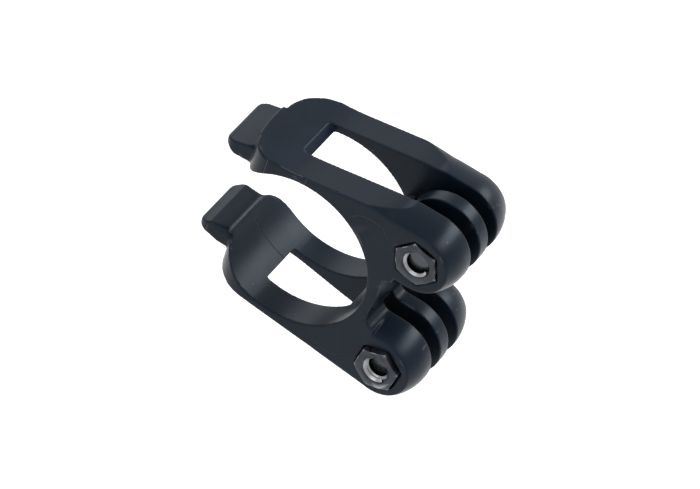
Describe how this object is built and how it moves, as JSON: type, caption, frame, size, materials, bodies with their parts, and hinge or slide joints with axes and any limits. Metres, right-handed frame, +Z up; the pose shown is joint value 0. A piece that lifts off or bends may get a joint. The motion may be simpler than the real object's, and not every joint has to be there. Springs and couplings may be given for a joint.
{
  "type": "stem accessory mount",
  "caption": "Moulded C-shaped bracket that grips a round handlebar or stem clamp and carries slotted finger forks, with bolts and captive nuts, for lights, cameras and computers.",
  "frame": {"origin": "on the axis of the bar that the ring grips, half-way across the bracket's width", "axes": "+X from the bar towards the forks, +Y along the bar (the nuts face -Y, the bolt heads +Y), +Z up through the upper fork"},
  "size_m": [0.0498, 0.023, 0.0424],
  "materials": {
    "moulded_plastic": "satin black, fine moulded grain",
    "black_steel": "black oxide"
  },
  "bodies": {
    "bracket": {"bracket": "moulded_plastic", "upper_nut": "black_steel", "lower_nut": "black_steel"},
    "upper_bolt": {"upper_bolt": "black_steel"},
    "lower_bolt": {"lower_bolt": "black_steel"}
  },
  "joints": [
    {"name": "upper_bolt_turn", "type": "hinge", "parent": "bracket", "child": "upper_bolt", "pos_m": [0.0228, 0, 0.0137], "axis": [0, 1, 0], "continuous": true},
    {"name": "lower_bolt_turn", "type": "hinge", "parent": "bracket", "child": "lower_bolt", "pos_m": [0.0228, 0, -0.0137], "axis": [0, 1, 0], "continuous": true}
  ]
}
